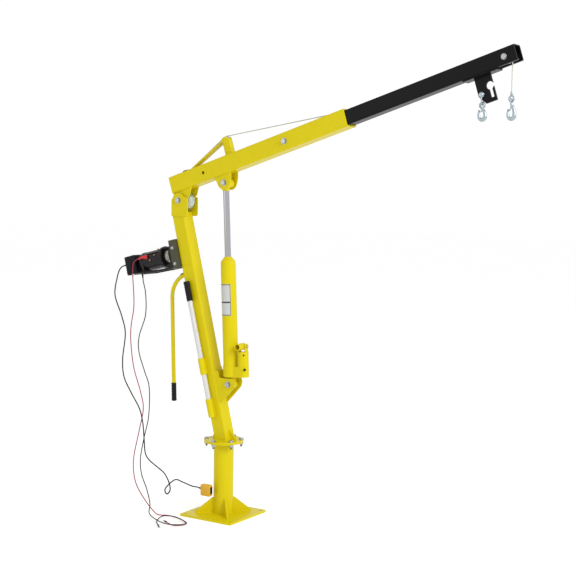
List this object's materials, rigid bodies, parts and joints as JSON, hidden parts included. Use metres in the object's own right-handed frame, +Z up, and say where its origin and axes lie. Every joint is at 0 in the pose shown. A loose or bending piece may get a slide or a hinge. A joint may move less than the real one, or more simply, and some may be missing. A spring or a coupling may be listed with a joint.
{
  "type": "jib crane",
  "caption": "Swivelling jib crane on a square base: leaning mast, boom lifted by a hand-pumped jack, sliding extension with hooks, rope winch with leads and a pendant.",
  "frame": {"origin": "centre of the base plate's underside, on the swivel axis", "axes": "+Z up along the swivel axis, +X towards the boom's tip at rest, +Y to the boom's left"},
  "size_m": [1.73, 0.4265, 1.8089],
  "materials": {
    "yellow_paint": "gloss",
    "black_paint": "gloss",
    "bracket_paint": "satin",
    "winch_paint": "gloss",
    "handle_paint": "satin",
    "zinc": "satin",
    "hook_steel": "satin",
    "sheave_steel": "satin",
    "wire_rope": "satin",
    "rod_chrome": "polished",
    "box_plastic": "matte",
    "orange_plastic": "matte",
    "red_rubber": "matte",
    "black_rubber": "matte"
  },
  "bodies": {
    "base": {"base_plate": "yellow_paint", "post": "yellow_paint", "post_gussets": "yellow_paint"},
    "mast": {"swivel_hub": "yellow_paint", "mast_flange": "yellow_paint", "mast_tube": "yellow_paint", "head_cheeks": "yellow_paint", "pivot_pin": "zinc", "mast_rope": "wire_rope", "jack_foot_bracket": "yellow_paint", "jack_foot_pin": "zinc", "winch_bracket": "bracket_paint", "winch_gearbox": "winch_paint", "winch_motor": "winch_paint", "control_box": "box_plastic", "terminal_boot": "red_rubber", "pump_handle": "handle_paint", "pump_handle_grip": "black_rubber", "handle_holders": "yellow_paint", "turning_handle": "yellow_paint", "turning_handle_grip": "black_rubber", "pendant_cable": "black_rubber", "pendant": "orange_plastic", "red_lead": "red_rubber", "black_lead": "black_rubber"},
    "sheave": {"head_sheave": "sheave_steel"},
    "drum": {"rope_drum": "winch_paint"},
    "boom": {"boom_tube": "yellow_paint", "boom_ears": "yellow_paint", "jack_head_bracket": "yellow_paint", "jack_head_pin": "zinc", "rope_strut": "yellow_paint", "boom_rope": "wire_rope", "lock_screw": "zinc"},
    "strut_roller": {"strut_roller": "zinc"},
    "extension": {"extension_tube": "black_paint", "tip_roller": "zinc", "keyhole_plate": "black_paint", "hook_shackle": "hook_steel"},
    "fixed_hook": {"fixed_hook": "hook_steel"},
    "rope_hook": {"rope_drop": "wire_rope", "rope_hook": "hook_steel"},
    "jack": {"jack_body": "yellow_paint", "jack_barrel": "yellow_paint"},
    "pump_lever": {"pump_lever": "yellow_paint"},
    "rod": {"jack_rod": "rod_chrome", "rod_eye": "yellow_paint"}
  },
  "joints": [
    {"name": "swivel", "type": "hinge", "parent": "base", "child": "mast", "pos_m": [0, 0, 0.27], "axis": [0, 0, 1], "continuous": true},
    {"name": "boom_lift", "type": "hinge", "parent": "mast", "child": "boom", "pos_m": [-0.212, 0, 1.257], "axis": [0, -1, 0], "range_deg": [-35, 18]},
    {"name": "extension_slide", "type": "slide", "parent": "boom", "child": "extension", "axis": [0.9529, 0, 0.3032], "range_m": [-0.4, 0]},
    {"name": "sheave_spin", "type": "hinge", "parent": "mast", "child": "sheave", "pos_m": [-0.212, 0, 1.257], "axis": [0, 1, 0], "continuous": true},
    {"name": "drum_spin", "type": "hinge", "parent": "mast", "child": "drum", "pos_m": [-0.27346, 0, 1.02945], "axis": [0.9703, 0, 0.2419], "continuous": true},
    {"name": "strut_roller_spin", "type": "hinge", "parent": "boom", "child": "strut_roller", "pos_m": [-0.00154, 0, 1.49922], "axis": [0, 1, 0], "continuous": true},
    {"name": "fixed_hook_swing", "type": "hinge", "parent": "extension", "child": "fixed_hook", "pos_m": [1.08203, 0, 1.6085], "axis": [0, 1, 0], "range_deg": [-35, 35]},
    {"name": "rope_hook_swing", "type": "hinge", "parent": "extension", "child": "rope_hook", "pos_m": [1.18903, 0, 1.76655], "axis": [0, 1, 0], "range_deg": [-35, 8]},
    {"name": "jack_tilt", "type": "hinge", "parent": "mast", "child": "jack", "pos_m": [0.035, 0, 0.533], "axis": [0, -1, 0], "range_deg": [-1.5, 0.8]},
    {"name": "jack_stroke", "type": "slide", "parent": "jack", "child": "rod", "axis": [-0.0462, 0, 0.9989], "range_m": [-0.14, 0.075]},
    {"name": "pump_lever_hinge", "type": "hinge", "parent": "jack", "child": "pump_lever", "pos_m": [0.08791, 0, 0.68761], "axis": [-0.9989, 0, -0.0462], "range_deg": [-5, 45]}
  ],
  "couplings": [
    {"joint": "jack_tilt", "follows": "boom_lift", "ratio": 0.04},
    {"joint": "jack_stroke", "follows": "boom_lift", "m_per_rad": 0.221}
  ]
}
